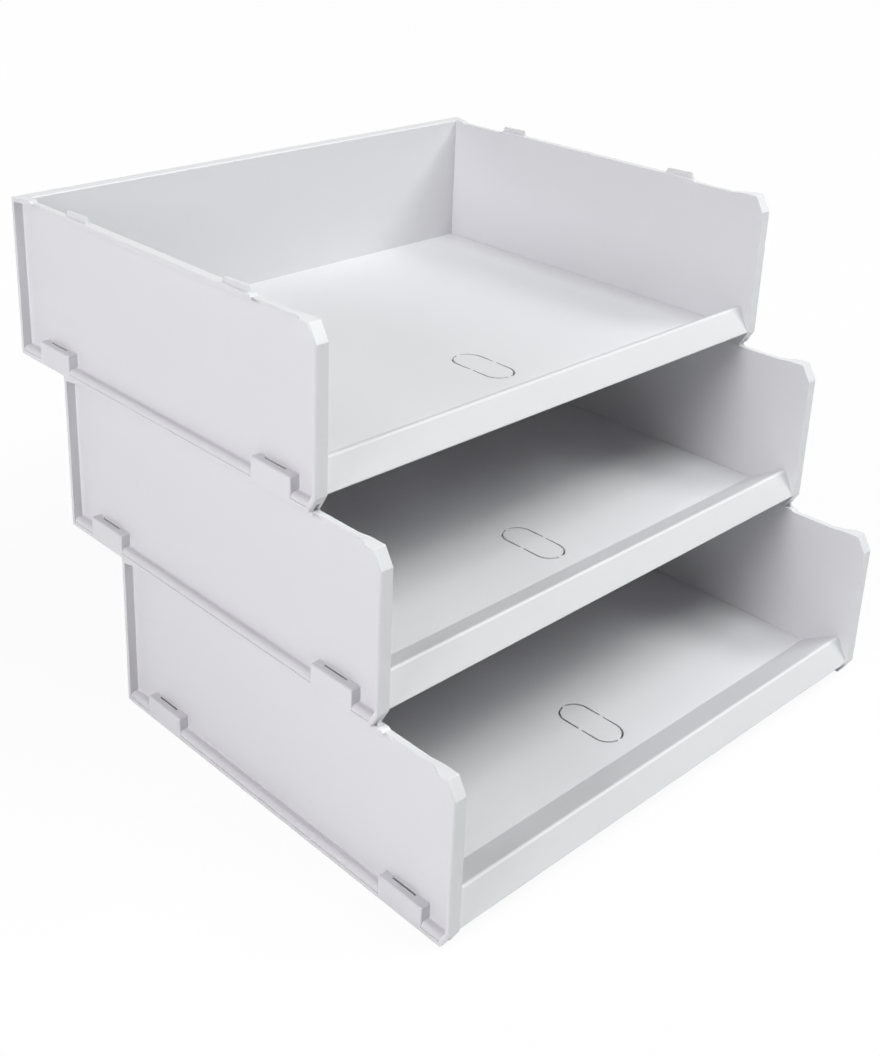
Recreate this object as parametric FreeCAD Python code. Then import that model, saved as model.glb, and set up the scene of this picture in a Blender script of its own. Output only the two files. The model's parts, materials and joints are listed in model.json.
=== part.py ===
"""Stack of three identical letter trays, each set further back than the one below it.

Millimetres, +Z up, the open front of the trays towards -Y.  The origin is at the middle of the
stack's footprint, on the surface that it stands on.  A tray is drawn in its own frame first: the
outside of its back wall on y = 0, its front edge on y = -TRAY_DEPTH, its bottom edges on z = 0.
"""
import FreeCAD, Part
import math
import os

Vector = FreeCAD.Vector
X_AXIS = Vector(1, 0, 0)
Y_AXIS = Vector(0, 1, 0)
Z_AXIS = Vector(0, 0, 1)
ORIGIN = Vector(0, 0, 0)

# --- tray, overall ---------------------------------------------------------------------------
TRAY_WIDTH = 346.6        # over the flanges of the two side walls
TRAY_DEPTH = 261.0        # back wall to front edge
TRAY_HEIGHT = 92.4        # bottom edge to the lands that carry the next tray
SHEET = 2.0               # moulded wall
FLANGE_REACH = 7.8        # from a wall's inner face to the outside of its flanges
FLANGE = 2.5              # thickness of the flanges

# --- stacking --------------------------------------------------------------------------------
MIDDLE_STEP_BACK = 51.0   # how far behind the bottom tray the middle tray stands
TOP_STEP_BACK = 45.0      # how far behind the middle tray the top tray stands
TAB_CLEARANCE = 0.3       # between a stacking tab and the wall that it locates
TAB_HEADROOM = 0.3        # above a tab, inside the rail of the next tray

# --- floor and front lip ---------------------------------------------------------------------
FLOOR_TOP = 10.4          # upper face of the floor above the bottom edges
LIP_DEPTH = 31.0          # foot of the lip's inner slope to the front edge
LIP_SETBACK = 7.8         # ridge of the lip to the front edge
LIP_HEIGHT = 24.2         # ridge above the bottom edges
RIDGE_RADIUS = 1.6
LIP_EDGE_RADIUS = 0.8     # rounding of the lip's lower edge

# --- corners of the side walls ---------------------------------------------------------------
TOP_CHAMFER_RUN = 5.3
TOP_CHAMFER_DROP = 9.0
LOW_CHAMFER_RUN = 4.9
LOW_CHAMFER_RISE = 8.3
COVE_LENGTH = 2.4         # hollow rounding beside the rear flange, along the side wall
COVE_DEPTH = 0.7          # and outwards along the flange
FRONT_EDGE_ROUND = 1.2    # outer edge of the front flange
BACK_EDGE_ROUND = 0.9     # inner top edge of the back wall

# --- top edge of the side walls --------------------------------------------------------------
LAND_RISE = 1.0           # how far the lands stand above the edge between them
LAND_RAMP = 1.5           # length of the slope at the front end of cap and bead
EDGE_RIM_REACH = 3.5      # width of the edge between the lands, from the wall's inner face
EDGE_RIM = 1.2            # its depth
EDGE_RIM_ROUND = 0.5
CAP_LENGTH = 15.5         # land over the rear corner
CAP_END_REACH = 4.5       # its width at the front end, from the wall's inner face
BEAD_START = 50.5         # rear of the tray to the bead
BEAD_LENGTH = 161.0
BEAD_REACH = 5.1          # width of the bead from the wall's inner face
BEAD_DROP = 2.8           # depth of the bead's turned-down edge
BEAD_SKIN = 1.2
BEAD_ROUND = 0.7
FRONT_LAND_LENGTH = 23.0  # front edge of the tray to the start of the front land
FRONT_LAND_TAPER = 12.0   # length over which it widens to the full flange
FRONT_LAND_RAMP = 8.0     # length over which it rises
SCOOP_BEHIND = 5.0        # small scoop in the wall under the front ends of cap and bead
SCOOP_AHEAD = 3.2
SCOOP_DROP = 3.2
SCOOP_DEPTH = 1.7
TAB_LENGTH = 20.5
TAB_HEIGHT = 3.7          # at the front end
TAB_REAR_HEIGHT = 3.1
TAB_THICKNESS = 1.5
TAB_FRONT_SLOPE = 1.0     # run of the slope at the front end of a tab
TAB_REAR_SLOPE = 1.4      # and at its rear end
FRONT_TAB_MARGIN = 3.2    # front end of the bead to the front tab

# --- rail along the foot of the walls --------------------------------------------------------
RAIL_SKIN = 1.4
RAIL_ROUND = 2.8          # shoulder of the rail
RAIL_COVE = 1.0           # hollow rounding between rail and wall
RAIL_EDGE = 2.4           # upright edge below the shoulder
RAIL_EDGE_PROUD = 0.5     # how far that edge stands out beyond the shoulder

# --- hollow blocks on the side rails, each with a slot in its top ----------------------------
BLOCK_LENGTH = 30.0
BLOCK_HEIGHT = 13.3
BLOCK_SKIN = 1.8
BLOCK_ROUND = 1.0
REAR_BLOCK_MARGIN = 20.8  # rear of the tray to the rear block
FRONT_BLOCK_MARGIN = 17.8  # front edge of the tray to the front block
SLOT_LENGTH = 15.8
SLOT_WIDTH = 1.2
SLOT_WALL_GAP = 0.5       # wall to slot
SLOT_MARGIN = 8.2         # front of a block to its slot

# --- knock-out in the floor ------------------------------------------------------------------
KNOCKOUT_LENGTH = 40.4    # over the middle of its slit
KNOCKOUT_WIDTH = 18.4
KNOCKOUT_MARGIN = 41.5    # front edge of the tray to the front of the knock-out
SLIT = 1.0
BRIDGE = 2.0

# --- places that follow from the sizes above -------------------------------------------------
HALF_WIDTH = TRAY_WIDTH / 2
INNER_HALF = HALF_WIDTH - FLANGE_REACH
WALL_FACE = INNER_HALF + SHEET
WALL_MIDDLE = INNER_HALF + SHEET / 2
FRONT = -TRAY_DEPTH
BEAD_END = BEAD_START + BEAD_LENGTH
EDGE_HEIGHT = TRAY_HEIGHT - LAND_RISE
FRONT_LAND_START = FRONT + FRONT_LAND_LENGTH
CHANNEL_HEIGHT = TAB_HEIGHT + TAB_HEADROOM
RAIL_HEIGHT = CHANNEL_HEIGHT + RAIL_SKIN
DIAGONAL = math.sqrt(0.5)
OVERSHOOT = 1.0           # how far a cut runs past the face that it opens
NEAR = 0.01               # places closer than this are taken as one


# --- helpers -----------------------------------------------------------------------------------
def face_of(points):
    """Flat face inside a closed run of corner points."""
    return Part.Face(Part.makePolygon(points + [points[0]]))


def box_between(low, high):
    """Box from its lowest to its highest corner."""
    size = high - low
    return Part.makeBox(size.x, size.y, size.z, low)


def fused(shapes):
    """One solid out of shapes that meet or overlap."""
    return shapes[0].fuse(shapes[1:]).removeSplitter()


def unit(vector):
    """The vector at length one."""
    return vector * (1.0 / vector.Length)


def edges_along(shape, direction, test):
    """Straight edges of a shape that run along a direction and whose middle passes a test."""
    chosen = []
    for edge in shape.Edges:
        start = edge.Vertexes[0].Point
        end = edge.Vertexes[-1].Point
        span = end - start
        if span.Length > NEAR and span.cross(direction).Length < NEAR:
            if test((start + end) * 0.5):
                chosen.append(edge)
    return chosen


# --- base: floor, front lip and knock-out ------------------------------------------------------
def under_corner(before, corner, after):
    """Corner of the sheet's lower face that lies under a corner of its upper face."""
    first = X_AXIS.cross(unit(corner - before))
    second = X_AXIS.cross(unit(after - corner))
    return corner + (first + second) * (SHEET / (1 + first.dot(second)))


def base_section():
    """Section of the base: the floor rises to the lip's ridge and falls to the front edge."""
    rear = Vector(0, -FLANGE_REACH, FLOOR_TOP)
    foot = Vector(0, FRONT + LIP_DEPTH, FLOOR_TOP)
    ridge = Vector(0, FRONT + LIP_SETBACK, LIP_HEIGHT)
    edge = Vector(0, FRONT, LOW_CHAMFER_RISE)
    face_normal = X_AXIS.cross(unit(edge - ridge))
    return [
        rear,
        foot,
        ridge,
        edge,
        edge + Y_AXIS * (SHEET / face_normal.y),
        under_corner(foot, ridge, edge),
        under_corner(rear, foot, ridge),
        rear - Z_AXIS * SHEET,
    ]


def knockout_outline(growth):
    """Stadium, long from front to back, grown or shrunk from the middle of its slit."""
    radius = KNOCKOUT_WIDTH / 2 + growth
    front_centre = FRONT + KNOCKOUT_MARGIN + KNOCKOUT_WIDTH / 2
    rear_centre = front_centre + KNOCKOUT_LENGTH - KNOCKOUT_WIDTH
    right = Vector(radius, front_centre, 0)
    right_rear = Vector(radius, rear_centre, 0)
    rear = Vector(0, rear_centre + radius, 0)
    left_rear = Vector(-radius, rear_centre, 0)
    left = Vector(-radius, front_centre, 0)
    front = Vector(0, front_centre - radius, 0)
    return Part.Face(Part.Wire([
        Part.makeLine(right, right_rear),
        Part.Arc(right_rear, rear, left_rear).toShape(),
        Part.makeLine(left_rear, left),
        Part.Arc(left, front, right).toShape(),
    ]))


def knockout_slits():
    """The four slits round the knock-out, with a bridge at each side and at each end."""
    depth = SHEET + 2 * OVERSHOOT
    ring = knockout_outline(SLIT / 2).cut(knockout_outline(-SLIT / 2)).extrude(Z_AXIS * depth)
    middle = FRONT + KNOCKOUT_MARGIN + KNOCKOUT_LENGTH / 2
    side_bridges = box_between(
        Vector(-KNOCKOUT_WIDTH, middle - BRIDGE / 2, 0),
        Vector(KNOCKOUT_WIDTH, middle + BRIDGE / 2, depth))
    end_bridges = box_between(
        Vector(-BRIDGE / 2, middle - KNOCKOUT_LENGTH, 0),
        Vector(BRIDGE / 2, middle + KNOCKOUT_LENGTH, depth))
    slits = ring.cut([side_bridges, end_bridges])
    slits.translate(Z_AXIS * (FLOOR_TOP - SHEET - OVERSHOOT))
    return slits


def base():
    """Floor and front lip as one bent sheet between the side walls."""
    sheet = face_of(base_section()).extrude(X_AXIS * (2 * INNER_HALF))
    sheet.translate(X_AXIS * -INNER_HALF)
    ridge = edges_along(sheet, X_AXIS, lambda point: abs(point.z - LIP_HEIGHT) < NEAR)
    sheet = sheet.makeFillet(RIDGE_RADIUS, ridge)
    lower_edge = edges_along(sheet, X_AXIS, lambda point: abs(point.y - FRONT) < NEAR)
    sheet = sheet.makeFillet(LIP_EDGE_RADIUS, lower_edge)
    return sheet.cut(knockout_slits())


# --- rail: a hollow ledge along the foot of the side and back walls ------------------------------
def rail_section():
    """Section of the rail outwards from the wall's inner face: edge, shoulder, top and cove."""
    shoulder_face = FLANGE_REACH - RAIL_EDGE_PROUD
    shoulder_centre = Vector(shoulder_face - RAIL_ROUND, 0, RAIL_HEIGHT - RAIL_ROUND)
    cove_centre = Vector(SHEET + RAIL_COVE, 0, RAIL_HEIGHT + RAIL_COVE)
    shoulder_low = shoulder_centre + X_AXIS * RAIL_ROUND
    shoulder_middle = shoulder_centre + (X_AXIS + Z_AXIS) * (RAIL_ROUND * DIAGONAL)
    shoulder_top = shoulder_centre + Z_AXIS * RAIL_ROUND
    cove_low = cove_centre - Z_AXIS * RAIL_COVE
    cove_middle = cove_centre - (X_AXIS + Z_AXIS) * (RAIL_COVE * DIAGONAL)
    cove_top = cove_centre - X_AXIS * RAIL_COVE
    inside_top = Vector(SHEET / 2, 0, cove_top.z)
    run = [
        inside_top,
        Vector(SHEET / 2, 0, 0),
        Vector(FLANGE_REACH, 0, 0),
        Vector(FLANGE_REACH, 0, RAIL_EDGE),
        Vector(shoulder_face, 0, RAIL_EDGE),
        shoulder_low,
    ]
    edges = [Part.makeLine(run[i], run[i + 1]) for i in range(len(run) - 1)]
    edges.append(Part.Arc(shoulder_low, shoulder_middle, shoulder_top).toShape())
    edges.append(Part.makeLine(shoulder_top, cove_low))
    edges.append(Part.Arc(cove_low, cove_middle, cove_top).toShape())
    edges.append(Part.makeLine(cove_top, inside_top))
    return Part.Face(Part.Wire(edges))


def channel_section():
    """Section of the hollow under the rail, open at the bottom."""
    outside = FLANGE_REACH - RAIL_EDGE_PROUD - RAIL_SKIN
    round_inside = RAIL_ROUND - RAIL_SKIN
    centre = Vector(outside - round_inside, 0, CHANNEL_HEIGHT - round_inside)
    arc_low = centre + X_AXIS * round_inside
    arc_middle = centre + (X_AXIS + Z_AXIS) * (round_inside * DIAGONAL)
    arc_top = centre + Z_AXIS * round_inside
    top = Vector(SHEET, 0, CHANNEL_HEIGHT)
    bottom = Vector(SHEET, 0, -OVERSHOOT)
    bottom_outside = Vector(outside, 0, -OVERSHOOT)
    return Part.Face(Part.Wire([
        Part.makeLine(top, bottom),
        Part.makeLine(bottom, bottom_outside),
        Part.makeLine(bottom_outside, arc_low),
        Part.Arc(arc_low, arc_middle, arc_top).toShape(),
        Part.makeLine(arc_top, top),
    ]))


# --- back wall -----------------------------------------------------------------------------------
def back_run(section):
    """A section drawn outwards from a wall's inner face, run along the whole back wall."""
    run = section.copy()
    run.rotate(ORIGIN, Z_AXIS, 90)
    run.translate(Vector(-INNER_HALF, -FLANGE_REACH, 0))
    return run.extrude(X_AXIS * (2 * INNER_HALF))


def back_wall():
    """Back wall between the side walls, with a rim along its top and a rail along its foot."""
    sheet = box_between(
        Vector(-INNER_HALF, -FLANGE_REACH, 0),
        Vector(INNER_HALF, SHEET - FLANGE_REACH, TRAY_HEIGHT))
    rim = box_between(
        Vector(-INNER_HALF, -FLANGE_REACH, TRAY_HEIGHT - FLANGE),
        Vector(INNER_HALF, 0, TRAY_HEIGHT))
    wall = fused([sheet, rim, back_run(rail_section())])
    inner_top = edges_along(
        wall, X_AXIS, lambda p: p.z > TRAY_HEIGHT - NEAR and p.y < -FLANGE)
    wall = wall.makeFillet(BACK_EDGE_ROUND, inner_top)
    return wall.cut(back_run(channel_section()))


# --- side wall, drawn for the right-hand side ------------------------------------------------------
def side_outline():
    """Plain outline of a side wall with its two chamfered front corners."""
    return face_of([
        Vector(0, 0, 0),
        Vector(0, 0, TRAY_HEIGHT),
        Vector(0, FRONT + TOP_CHAMFER_RUN, TRAY_HEIGHT),
        Vector(0, FRONT, TRAY_HEIGHT - TOP_CHAMFER_DROP),
        Vector(0, FRONT, LOW_CHAMFER_RISE),
        Vector(0, FRONT + LOW_CHAMFER_RUN, 0),
    ])


def pulled(face, inside, outside):
    """Solid of a face that lies across X, pulled from one width to another."""
    moved = face.copy()
    moved.translate(X_AXIS * inside)
    return moved.extrude(X_AXIS * (outside - inside))


def side_dips():
    """What the top edge lacks between the lands, sloped at the front end of each stretch's land."""
    stretches = (
        (-CAP_LENGTH, -BEAD_START, 0),
        (-BEAD_END, FRONT_LAND_START, FRONT_LAND_RAMP),
    )
    dips = []
    for rear_end, front_end, rise in stretches:
        dip = face_of([
            Vector(0, rear_end + LAND_RAMP, TRAY_HEIGHT),
            Vector(0, rear_end, EDGE_HEIGHT),
            Vector(0, front_end, EDGE_HEIGHT),
            Vector(0, front_end - rise, TRAY_HEIGHT),
        ])
        dips.append(pulled(dip, INNER_HALF, HALF_WIDTH))
    return dips


def edge_rim(rear_end, front_end):
    """Small rim that turns outwards along a low stretch of the top edge."""
    rim = box_between(
        Vector(WALL_MIDDLE, front_end, EDGE_HEIGHT - EDGE_RIM),
        Vector(INNER_HALF + EDGE_RIM_REACH, rear_end, EDGE_HEIGHT))
    outer = edges_along(rim, Y_AXIS, lambda p: p.x > WALL_FACE and p.z > EDGE_HEIGHT - EDGE_RIM / 2)
    return rim.makeFillet(EDGE_RIM_ROUND, outer)


def flare(start, length, width):
    """Arc that leaves a point along Y and ends a length further on and a width further out."""
    radius = (length ** 2 + width ** 2) / (2 * width)
    half_turn = math.asin(length / radius) / 2
    centre = start + X_AXIS * radius
    middle = centre + Vector(-math.cos(half_turn), math.sin(half_turn), 0) * radius
    return Part.Arc(start, middle, start + Vector(width, length, 0)).toShape()


def plan_of(curve, corners):
    """Plan bounded by a curve and by a run of corners from its end back to its start."""
    run = [curve.Vertexes[-1].Point] + corners + [curve.Vertexes[0].Point]
    lines = [Part.makeLine(run[i], run[i + 1]) for i in range(len(run) - 1)]
    return Part.Face(Part.Wire([curve] + lines))


def flange_frame():
    """Flanges round the rear and the front of the wall, each with the land above it."""
    outline = side_outline()
    ring = pulled(outline.cut(outline.makeOffset2D(-FLANGE, 2)), WALL_MIDDLE, HALF_WIDTH)
    cap = face_of([
        Vector(WALL_MIDDLE, 0, 0),
        Vector(HALF_WIDTH, 0, 0),
        Vector(HALF_WIDTH, -FLANGE, 0),
        Vector(INNER_HALF + CAP_END_REACH, -CAP_LENGTH, 0),
        Vector(WALL_MIDDLE, -CAP_LENGTH, 0),
    ])
    widening = flare(
        Vector(INNER_HALF + EDGE_RIM_REACH, FRONT_LAND_START, 0),
        -FRONT_LAND_TAPER, FLANGE_REACH - EDGE_RIM_REACH)
    front_land = plan_of(widening, [
        Vector(HALF_WIDTH, FRONT, 0),
        Vector(WALL_MIDDLE, FRONT, 0),
        Vector(WALL_MIDDLE, FRONT_LAND_START, 0),
    ])
    rear = ring.common(cap.extrude(Z_AXIS * TRAY_HEIGHT))
    front = ring.common(front_land.extrude(Z_AXIS * TRAY_HEIGHT))
    return [rear, front.makeFillet(FRONT_EDGE_ROUND, front_edges(front))]


def front_edges(flange):
    """Outer edges of the front flange: up the front and along both chamfers."""
    chosen = []
    for edge in flange.Edges:
        points = [vertex.Point for vertex in edge.Vertexes]
        outside = all(point.x > HALF_WIDTH - NEAR for point in points)
        in_front = all(point.y < FRONT + TOP_CHAMFER_RUN + NEAR for point in points)
        if outside and in_front and abs(points[0].z - points[1].z) > SHEET:
            chosen.append(edge)
    return chosen


def rear_cove():
    """Hollow rounding between the side wall and its rear flange."""
    start = Vector(WALL_FACE, -FLANGE - COVE_LENGTH, 0)
    section = plan_of(flare(start, COVE_LENGTH, COVE_DEPTH), [
        Vector(WALL_FACE + COVE_DEPTH, -FLANGE / 2, 0),
        Vector(WALL_MIDDLE, -FLANGE / 2, 0),
        Vector(WALL_MIDDLE, start.y, 0),
    ])
    section.translate(Z_AXIS * CHANNEL_HEIGHT)
    return section.extrude(Z_AXIS * (EDGE_HEIGHT - EDGE_RIM / 2 - CHANNEL_HEIGHT))


def bead():
    """Rim that turns outwards and down along the middle of the top edge."""
    top = TRAY_HEIGHT
    round_centre = Vector(BEAD_REACH - BEAD_ROUND, 0, top - BEAD_ROUND)
    round_top = round_centre + Z_AXIS * BEAD_ROUND
    round_middle = round_centre + (X_AXIS + Z_AXIS) * (BEAD_ROUND * DIAGONAL)
    round_side = round_centre + X_AXIS * BEAD_ROUND
    run = [
        round_side,
        Vector(BEAD_REACH, 0, top - BEAD_DROP),
        Vector(BEAD_REACH - BEAD_SKIN, 0, top - BEAD_DROP),
        Vector(BEAD_REACH - BEAD_SKIN, 0, top - BEAD_SKIN),
        Vector(SHEET / 2, 0, top - BEAD_SKIN),
        Vector(SHEET / 2, 0, top),
        round_top,
    ]
    edges = [Part.makeLine(run[i], run[i + 1]) for i in range(len(run) - 1)]
    edges.append(Part.Arc(round_top, round_middle, round_side).toShape())
    section = Part.Face(Part.Wire(edges))
    section.translate(Vector(INNER_HALF, -BEAD_END, 0))
    return section.extrude(Y_AXIS * BEAD_LENGTH)


def tab(front_end):
    """Upright tab on the bead that locates the rail of the next tray."""
    rear_end = front_end + TAB_LENGTH
    foot = TRAY_HEIGHT - BEAD_SKIN / 2
    blade = face_of([
        Vector(0, front_end, foot),
        Vector(0, front_end, TRAY_HEIGHT),
        Vector(0, front_end + TAB_FRONT_SLOPE, TRAY_HEIGHT + TAB_HEIGHT),
        Vector(0, rear_end - TAB_REAR_SLOPE, TRAY_HEIGHT + TAB_REAR_HEIGHT),
        Vector(0, rear_end, TRAY_HEIGHT),
        Vector(0, rear_end, foot),
    ])
    inside = WALL_FACE + TAB_CLEARANCE
    return pulled(blade, inside, inside + TAB_THICKNESS)


def scoop(land_end):
    """Small three-sided scoop in the wall's outer face, under the rim at a land's front end."""
    top = EDGE_HEIGHT - EDGE_RIM
    front_end = land_end - SCOOP_AHEAD
    rear = Vector(WALL_FACE, land_end + SCOOP_BEHIND, top)
    front = Vector(WALL_FACE, front_end, top)
    deep = Vector(WALL_FACE - SCOOP_DEPTH, front_end + SCOOP_AHEAD / 2, top)
    low = Vector(WALL_FACE, front_end, top - SCOOP_DROP)
    sides = [face_of(list(corners)) for corners in (
        (rear, front, deep), (rear, front, low), (front, deep, low), (rear, deep, low))]
    return Part.Solid(Part.Shell(sides))


def side_rail():
    """Rail along the foot of the side wall, cut off with its chamfered front corner."""
    section = rail_section()
    section.translate(Vector(INNER_HALF, FRONT, 0))
    rail = section.extrude(Y_AXIS * TRAY_DEPTH)
    return rail.common(pulled(side_outline(), INNER_HALF, HALF_WIDTH))


def side_channel():
    """Hollow under the rail, closed at the rear and front by the flanges."""
    section = channel_section()
    section.translate(Vector(INNER_HALF, FRONT, 0))
    hollow = section.extrude(Y_AXIS * TRAY_DEPTH)
    slope = LOW_CHAMFER_RUN / LOW_CHAMFER_RISE
    foot = FRONT + LOW_CHAMFER_RUN + FLANGE * math.hypot(1, slope)
    limit = face_of([
        Vector(0, -FLANGE, -OVERSHOOT),
        Vector(0, -FLANGE, RAIL_HEIGHT),
        Vector(0, foot - slope * RAIL_HEIGHT, RAIL_HEIGHT),
        Vector(0, foot + slope * OVERSHOOT, -OVERSHOOT),
    ])
    return hollow.common(pulled(limit, INNER_HALF, HALF_WIDTH))


def tab_relief():
    """Way out through the foot of the front flange for the front tab of the tray below."""
    return box_between(
        Vector(WALL_FACE, FRONT - OVERSHOOT, -OVERSHOOT),
        Vector(WALL_FACE + TAB_THICKNESS + 2 * TAB_CLEARANCE, FRONT / 2, CHANNEL_HEIGHT))


def block(front_end):
    """Outside of a block on the rail, its free edges rounded."""
    body = box_between(
        Vector(WALL_MIDDLE, front_end, 0),
        Vector(HALF_WIDTH, front_end + BLOCK_LENGTH, BLOCK_HEIGHT))

    def free(point):
        return point.x > WALL_FACE and point.z > RAIL_EDGE

    edges = []
    for direction in (X_AXIS, Y_AXIS, Z_AXIS):
        edges += edges_along(body, direction, free)
    return body.makeFillet(BLOCK_ROUND, edges)


def block_hollow(front_end):
    """Hollow inside a block, open into the channel, with the slot through its top."""
    ceiling = BLOCK_HEIGHT - BLOCK_SKIN
    hollow = box_between(
        Vector(WALL_FACE, front_end + BLOCK_SKIN, -OVERSHOOT),
        Vector(HALF_WIDTH - BLOCK_SKIN, front_end + BLOCK_LENGTH - BLOCK_SKIN, ceiling))
    slot_start = front_end + SLOT_MARGIN
    slot_inside = WALL_FACE + SLOT_WALL_GAP
    slot = box_between(
        Vector(slot_inside, slot_start, ceiling - OVERSHOOT),
        Vector(slot_inside + SLOT_WIDTH, slot_start + SLOT_LENGTH, BLOCK_HEIGHT + OVERSHOOT))
    return [hollow, slot]


def right_side():
    """Right side wall with its flanges, top edge, rail and blocks."""
    block_fronts = (
        -REAR_BLOCK_MARGIN - BLOCK_LENGTH,
        FRONT + FRONT_BLOCK_MARGIN,
    )
    tab_fronts = (
        -BEAD_START - TAB_LENGTH,
        FRONT_TAB_MARGIN - BEAD_END,
    )
    wall = fused([pulled(side_outline(), INNER_HALF, WALL_FACE), bead()] + flange_frame())
    solids = [wall.cut(side_dips())]
    solids.append(edge_rim(-CAP_LENGTH, -BEAD_START))
    solids.append(edge_rim(-BEAD_END, FRONT_LAND_START - FRONT_LAND_TAPER))
    solids += [side_rail(), rear_cove()]
    solids += [block(front_end) for front_end in block_fronts]
    solids += [tab(front_end) for front_end in tab_fronts]
    cuts = [side_channel(), tab_relief(), scoop(-CAP_LENGTH), scoop(-BEAD_END)]
    for front_end in block_fronts:
        cuts += block_hollow(front_end)
    return fused(solids).cut(cuts)


def left_side():
    """Left side wall, the right one mirrored."""
    return right_side().mirror(ORIGIN, X_AXIS)


# --- the stack -----------------------------------------------------------------------------------
def stack():
    """Every node of the stack by name, in place."""
    walls = {
        "base": base(),
        "back_wall": back_wall(),
        "left_side": left_side(),
        "right_side": right_side(),
    }
    step_backs = (
        ("bottom_tray", 0.0),
        ("middle_tray", MIDDLE_STEP_BACK),
        ("top_tray", MIDDLE_STEP_BACK + TOP_STEP_BACK),
    )
    bottom_rear = (TRAY_DEPTH - MIDDLE_STEP_BACK - TOP_STEP_BACK) / 2
    nodes = {}
    for level, (tray, step_back) in enumerate(step_backs):
        for wall, shape in walls.items():
            node = shape.copy()
            node.translate(Vector(0, bottom_rear + step_back, level * TRAY_HEIGHT))
            nodes[tray + "_" + wall] = node
    return nodes


def main():
    os.makedirs("parts", exist_ok=True)
    for name, shape in stack().items():
        print(name, "solids", len(shape.Solids), "valid", shape.isValid(),
              "volume", round(shape.Volume, 1))
        shape.exportStep("parts/" + name + ".step")


main()
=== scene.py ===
"""Looks for a stack of three moulded letter trays.  Metres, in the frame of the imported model."""

import json
import math

import bmesh
import bpy
from mathutils import Matrix, Vector


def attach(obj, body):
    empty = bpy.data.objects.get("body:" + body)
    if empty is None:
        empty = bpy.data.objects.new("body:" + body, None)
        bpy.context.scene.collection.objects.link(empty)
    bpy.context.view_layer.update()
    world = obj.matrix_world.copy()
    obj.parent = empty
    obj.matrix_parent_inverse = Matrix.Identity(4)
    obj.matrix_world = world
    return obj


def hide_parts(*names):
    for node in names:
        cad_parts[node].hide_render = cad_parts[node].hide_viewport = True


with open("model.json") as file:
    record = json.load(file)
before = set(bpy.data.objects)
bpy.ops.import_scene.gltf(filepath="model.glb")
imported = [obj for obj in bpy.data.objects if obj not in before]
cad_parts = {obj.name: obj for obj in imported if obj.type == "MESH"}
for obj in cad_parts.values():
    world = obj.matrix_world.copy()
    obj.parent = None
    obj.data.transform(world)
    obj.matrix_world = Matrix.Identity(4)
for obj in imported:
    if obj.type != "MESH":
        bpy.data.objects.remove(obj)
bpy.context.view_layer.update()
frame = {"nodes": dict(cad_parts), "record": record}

MM = 0.001

# Mouldings
EDGE_ROUND = 0.35 * MM                  # rounding of the outer edges
EDGE_SEGMENTS = 2
SHARP_ANGLE = math.radians(28)          # an edge that turns more than this is rounded
SHORTEST_ROUNDED = 1.2 * MM
WELD_DISTANCE = 0.002 * MM
FLAT_ANGLE = math.radians(0.3)          # faces within this of one plane become one face
SHADING_WEIGHT = 80                     # how far large faces set the shading of small ones

# Satin styrene
PALE_GREY = (0.665, 0.660, 0.682, 1)    # the drift in tone runs between these two
PALER_GREY = (0.682, 0.678, 0.698, 1)
DRIFT_IN_TONE = 0.75
FLOW_IN_TONE = 0.25
WALL_ROUGHNESS = 0.36
FLOOR_ROUGHNESS = 0.42
DRIFT_IN_ROUGHNESS = 0.10
GRAIN_IN_ROUGHNESS = 0.06
PLASTIC_IOR = 1.58
PLASTIC_SPECULAR = 0.42
DRIFT_SIZE = 90 * MM
FLOW_SIZE = 12 * MM
FLOW_STRETCH = (1, 1, 0.15)             # flow bands are long in height
GRAIN_SIZE = 0.7 * MM
RELIEF_DEPTH = 0.06 * MM
RELIEF_STRENGTH = 0.35
FLOW_IN_RELIEF = 2.0
TRAY_SHIFT = Vector((0.31, 0.17, 0))    # moves the pattern on from tray to tray

# Sockets of a Mix node that mixes colours
MIX_FACTOR = 0
MIX_FIRST = 6
MIX_SECOND = 7
MIX_RESULT = 2

# Studio
FLOOR_REACH = 6.0
FLOOR_DROP = 0.2 * MM                   # keeps the floor clear of the lowest faces
FLOOR_PAPER = (0.80, 0.80, 0.80, 1)
FLOOR_WHITE_NEAR = 0.94
FLOOR_WHITE_FAR = 0.985
SHADOW_REACH = (0.25, 0.75)             # where the floor is least white and most white
OPEN_UNDER_LIP = 45 * MM                # floor that is seen under the bottom tray's front lip
WHITE = (1, 1, 1, 1)
BLACK = (0, 0, 0, 1)
LIT_MIDDLE = Vector((0, 0, 0.15))       # the lamps face this place in the stack
COOL_LIGHT = (0.97, 1.0, 0.985)
ROSY_LIGHT = (1.0, 0.988, 1.012)

# Camera and picture
PICTURE_WIDTH = 880
PICTURE_HEIGHT = 1056
SENSOR_WIDTH = 36.0
NEAREST_SEEN = 10 * MM
FOCAL_PIXELS = 1457.2
CENTRE_PIXEL = (408.2, 353.1)
CAMERA_PLACE = Vector((-0.5517, -0.5334, 0.4977))
CAMERA_FORWARD = Vector((0.6453, 0.6701, -0.3667))
CAMERA_RIGHT = Vector((0.7280, -0.6849, 0.0295))


# --- shader expressions --------------------------------------------------------------------------
class Value:
    """A number socket of a material that can be used in sums."""

    def __init__(self, tree, socket):
        self.tree = tree
        self.socket = socket

    def _join(self, operation, *numbers):
        """The result of a Math node on values and plain numbers."""
        node = self.tree.node("ShaderNodeMath", {"operation": operation}, dict(enumerate(numbers)))
        return Value(self.tree, node.outputs[0])

    def __add__(self, other):
        return self._join("ADD", self, other)

    __radd__ = __add__

    def __sub__(self, other):
        return self._join("SUBTRACT", self, other)

    def __rsub__(self, other):
        return self._join("SUBTRACT", other, self)

    def __mul__(self, other):
        return self._join("MULTIPLY", self, other)

    __rmul__ = __mul__

    def within(self, reach):
        """One where the number lies between -reach and reach, nought elsewhere."""
        return self._join("LESS_THAN", self._join("ABSOLUTE", self), reach)


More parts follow.
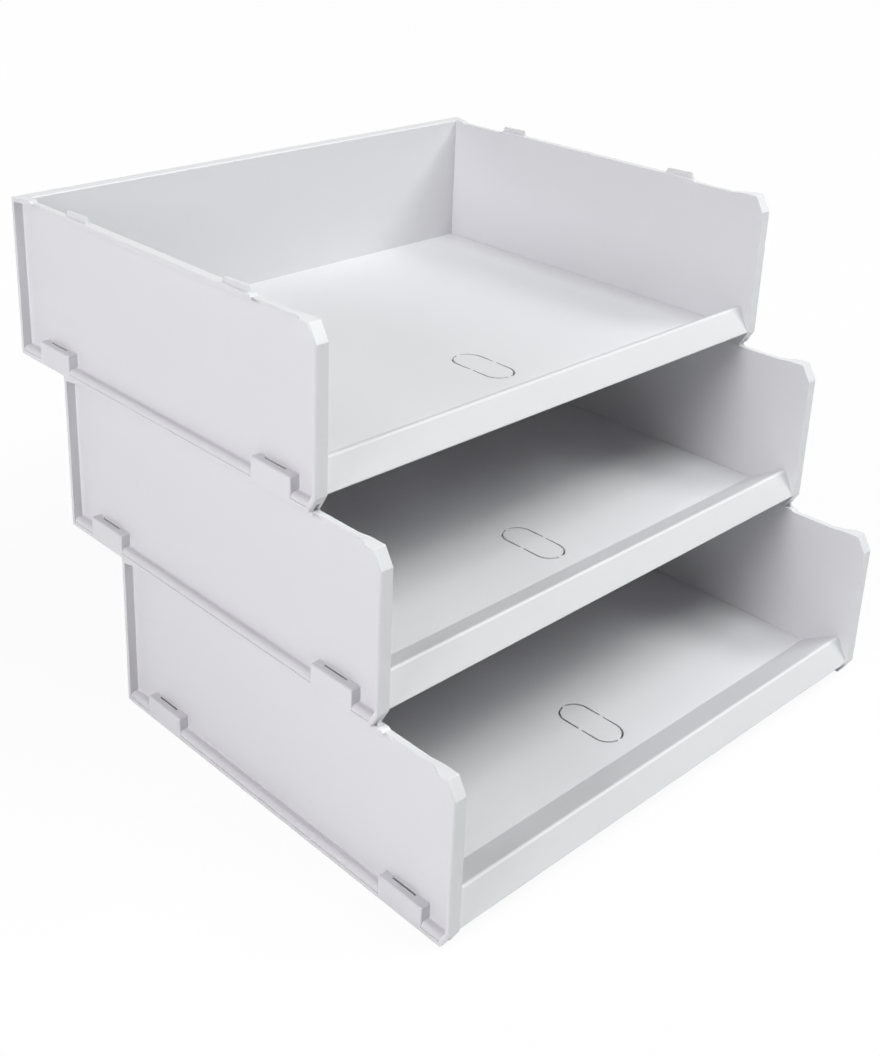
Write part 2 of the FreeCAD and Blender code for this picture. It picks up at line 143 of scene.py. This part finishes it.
class Tree:
    """The nodes of a material or of a world, built anew."""

    def __init__(self, owner):
        owner.use_nodes = True
        self.nodes = owner.node_tree.nodes
        self.links = owner.node_tree.links
        self.nodes.clear()

    def node(self, kind, settings=None, inputs=None):
        """A node with its settings, its sockets set to numbers or linked to sockets."""
        node = self.nodes.new(kind)
        for key, value in (settings or {}).items():
            setattr(node, key, value)
        for key, value in (inputs or {}).items():
            if isinstance(value, Value):
                value = value.socket
            if isinstance(value, bpy.types.NodeSocket):
                self.links.new(value, node.inputs[key])
            else:
                node.inputs[key].default_value = value
        return node

    def noise(self, place, size, detail=2.0, roughness=0.5):
        """Noise from 0 to 1 whose lumps are about as wide as size, in metres."""
        node = self.node("ShaderNodeTexNoise", {"noise_dimensions": "3D"}, {
            "Vector": place, "Scale": 1.0 / size, "Detail": detail, "Roughness": roughness})
        return Value(self, node.outputs["Fac"])

    def finish(self, shader, output="ShaderNodeOutputMaterial"):
        """Links a shader to the output."""
        self.links.new(shader.outputs[0], self.node(output).inputs["Surface"])

    def place(self, offset=(0, 0, 0), stretch=(1, 1, 1)):
        """Place on the object, moved and stretched."""
        coordinates = self.node("ShaderNodeTexCoord")
        mapping = self.node("ShaderNodeMapping", {}, {
            "Vector": coordinates.outputs["Object"], "Location": offset, "Scale": stretch})
        return mapping.outputs["Vector"]

    def mix(self, factor, first, second):
        """Colour between two colours."""
        node = self.node("ShaderNodeMix", {"data_type": "RGBA"}, {
            MIX_FACTOR: factor, MIX_FIRST: first, MIX_SECOND: second})
        return node.outputs[MIX_RESULT]


# --- material ------------------------------------------------------------------------------------
def moulded_plastic(name, offset, roughness):
    """Satin styrene: a fine spark-eroded grain, faint flow bands and a slow drift in tone."""
    material = bpy.data.materials.new(name)
    tree = Tree(material)
    here = tree.place(offset)
    bands = tree.place(offset, FLOW_STRETCH)
    drift = tree.noise(here, DRIFT_SIZE, detail=3)
    flow = tree.noise(bands, FLOW_SIZE, detail=2)
    grain = tree.noise(here, GRAIN_SIZE, detail=3, roughness=0.6)
    tone = DRIFT_IN_TONE * drift + FLOW_IN_TONE * flow
    sheen = roughness + DRIFT_IN_ROUGHNESS * (drift - 0.5) + GRAIN_IN_ROUGHNESS * (grain - 0.5)
    relief = tree.node("ShaderNodeBump", {}, {
        "Strength": RELIEF_STRENGTH, "Distance": RELIEF_DEPTH,
        "Height": grain + FLOW_IN_RELIEF * flow})
    shader = tree.node("ShaderNodeBsdfPrincipled", {}, {
        "Base Color": tree.mix(tone, PALE_GREY, PALER_GREY),
        "Roughness": sheen,
        "IOR": PLASTIC_IOR,
        "Specular IOR Level": PLASTIC_SPECULAR,
        "Normal": relief.outputs["Normal"]})
    tree.finish(shader)
    return material


# --- mouldings -----------------------------------------------------------------------------------
def rounded_copy(node):
    """The node's surface as a clean closed mesh with its outer edges rounded."""
    mesh = bmesh.new()
    mesh.from_mesh(node.data)
    bmesh.ops.remove_doubles(mesh, verts=mesh.verts, dist=WELD_DISTANCE)
    bmesh.ops.dissolve_limit(mesh, angle_limit=FLAT_ANGLE, verts=mesh.verts, edges=mesh.edges,
                             use_dissolve_boundaries=False)
    outer_edges = [
        edge for edge in mesh.edges
        if len(edge.link_faces) == 2 and edge.is_convex
        and edge.calc_face_angle() > SHARP_ANGLE and edge.calc_length() > SHORTEST_ROUNDED
    ]
    bmesh.ops.bevel(mesh, geom=outer_edges, offset=EDGE_ROUND, offset_type="OFFSET",
                    segments=EDGE_SEGMENTS, profile=0.5, affect="EDGES", clamp_overlap=False,
                    material=-1)
    bmesh.ops.remove_doubles(mesh, verts=mesh.verts, dist=WELD_DISTANCE)
    bmesh.ops.dissolve_degenerate(mesh, dist=WELD_DISTANCE, edges=mesh.edges)
    for face in mesh.faces:
        face.smooth = True
    for edge in mesh.edges:
        edge.smooth = len(edge.link_faces) == 2 and edge.calc_face_angle() < SHARP_ANGLE
    data = bpy.data.meshes.new(node.name + "_moulding")
    mesh.to_mesh(data)
    mesh.free()
    return data


def finish_node(node, body, material):
    """Puts the rounded moulding in the node's place, in its plastic and on its tray."""
    piece = bpy.data.objects.new(node.name + "_moulding", rounded_copy(node))
    bpy.context.scene.collection.objects.link(piece)
    piece.data.materials.append(material)
    fair = piece.modifiers.new("even shading", "WEIGHTED_NORMAL")
    fair.keep_sharp = True
    fair.weight = SHADING_WEIGHT
    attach(piece, body)
    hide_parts(node.name)


def finish_trays():
    """Every wall and floor of the three trays."""
    bodies = frame["record"]["behaviour"]["bodies"]
    for level, (body, names) in enumerate(bodies.items()):
        offset = level * TRAY_SHIFT
        wall_plastic = moulded_plastic(body + "_wall_plastic", offset, WALL_ROUGHNESS)
        floor_plastic = moulded_plastic(body + "_floor_plastic", offset, FLOOR_ROUGHNESS)
        for name in names:
            material = floor_plastic if name.endswith("_base") else wall_plastic
            finish_node(frame["nodes"][name], body, material)


# --- studio --------------------------------------------------------------------------------------
def seen_as_white(tree, lit_shader, white_kind, share):
    """The lit shader, with a share of plain white for what camera, glossy and clear rays meet."""
    path = tree.node("ShaderNodeLightPath")
    seen = Value(tree, path.outputs["Is Camera Ray"])
    seen = seen + Value(tree, path.outputs["Is Glossy Ray"])
    seen = seen + Value(tree, path.outputs["Is Transmission Ray"])
    white = tree.node(white_kind, {}, {"Color": WHITE, "Strength": 1.0})
    return tree.node("ShaderNodeMixShader", {}, {
        0: share * seen, 1: lit_shader.outputs[0], 2: white.outputs[0]})


def white_share(tree):
    """Share of white on the floor: less near the stack, whose shadow stays, and none right under it."""
    base = frame["nodes"]["bottom_tray_base"]
    corners = [base.matrix_world @ Vector(corner) for corner in base.bound_box]
    front = min(corner.y for corner in corners) + OPEN_UNDER_LIP
    rear = max(corner.y for corner in corners)
    half_width = max(corner.x for corner in corners)
    coordinates = tree.node("ShaderNodeTexCoord")
    place = tree.node("ShaderNodeSeparateXYZ", {}, {0: coordinates.outputs["Object"]})
    across = Value(tree, place.outputs["X"]).within(half_width)
    along = (Value(tree, place.outputs["Y"]) - (front + rear) / 2).within((rear - front) / 2)
    distance = tree.node("ShaderNodeVectorMath", {"operation": "LENGTH"}, {
        0: coordinates.outputs["Object"]})
    spread = tree.node("ShaderNodeMapRange", {"interpolation_type": "SMOOTHSTEP"}, {
        "Value": distance.outputs["Value"],
        "From Min": SHADOW_REACH[0], "From Max": SHADOW_REACH[1],
        "To Min": FLOOR_WHITE_NEAR, "To Max": FLOOR_WHITE_FAR})
    return Value(tree, spread.outputs[0]) * (1 - across * along)


def studio_floor():
    """A wide pale floor under the stack."""
    mesh = bmesh.new()
    bmesh.ops.create_grid(mesh, x_segments=1, y_segments=1, size=FLOOR_REACH,
                          matrix=Matrix.Translation((0, 0, -FLOOR_DROP)))
    data = bpy.data.meshes.new("studio_floor")
    mesh.to_mesh(data)
    mesh.free()
    floor = bpy.data.objects.new("studio_floor", data)
    bpy.context.scene.collection.objects.link(floor)
    material = bpy.data.materials.new("studio_floor_paper")
    tree = Tree(material)
    paper = tree.node("ShaderNodeBsdfDiffuse", {}, {"Color": FLOOR_PAPER})
    tree.finish(seen_as_white(tree, paper, "ShaderNodeEmission", white_share(tree)))
    data.materials.append(material)


def studio_world():
    """Surroundings that are white to see and give no light of their own."""
    world = bpy.data.worlds.new("studio")
    bpy.context.scene.world = world
    tree = Tree(world)
    unlit = tree.node("ShaderNodeBackground", {}, {"Color": BLACK})
    tree.finish(seen_as_white(tree, unlit, "ShaderNodeBackground", 1.0), "ShaderNodeOutputWorld")


def softbox(name, place, size, power, colour):
    """A square soft light that faces the stack and that the camera doesn't see."""
    light = bpy.data.lights.new(name, "AREA")
    light.shape = "SQUARE"
    light.size = size
    light.energy = power
    light.color = colour
    lamp = bpy.data.objects.new(name, light)
    bpy.context.scene.collection.objects.link(lamp)
    lamp.visible_camera = False
    lamp.location = place
    towards_stack = LIT_MIDDLE - lamp.location
    lamp.rotation_euler = towards_stack.to_track_quat("-Z", "Y").to_euler()


def studio_lights():
    """Soft light over the open front and from the left, and a low, weak one behind."""
    softbox("front_light", place=(0.2, -0.8, 2.1), size=0.9, power=26.5, colour=COOL_LIGHT)
    softbox("front_right_light", place=(1.2, -1.2, 1.7), size=0.8, power=26, colour=COOL_LIGHT)
    softbox("left_light", place=(-2.15, -0.2, 0.9), size=0.7, power=27.5, colour=ROSY_LIGHT)
    softbox("left_high_light", place=(-1.5, -0.1, 1.9), size=0.7, power=7.5, colour=ROSY_LIGHT)
    softbox("rear_fill_light", place=(0.1, 2.3, 0.4), size=0.6, power=9, colour=COOL_LIGHT)


def studio_camera():
    """The camera, from its place, its directions and its focal length."""
    camera = bpy.data.cameras.new("camera")
    camera.sensor_width = SENSOR_WIDTH
    camera.lens = FOCAL_PIXELS * SENSOR_WIDTH / PICTURE_HEIGHT
    camera.shift_x = (PICTURE_WIDTH / 2 - CENTRE_PIXEL[0]) / PICTURE_HEIGHT
    camera.shift_y = (CENTRE_PIXEL[1] - PICTURE_HEIGHT / 2) / PICTURE_HEIGHT
    camera.clip_start = NEAREST_SEEN
    viewer = bpy.data.objects.new("camera", camera)
    bpy.context.scene.collection.objects.link(viewer)
    back = -CAMERA_FORWARD.normalized()
    right = CAMERA_RIGHT.normalized()
    up = back.cross(right)
    turn = Matrix((right, up, back)).transposed().to_4x4()
    viewer.matrix_world = Matrix.Translation(CAMERA_PLACE) @ turn
    bpy.context.scene.camera = viewer


finish_trays()
studio_floor()
studio_world()
studio_lights()
studio_camera()
bpy.context.scene.view_settings.view_transform = "Standard"

bpy.context.view_layer.update()
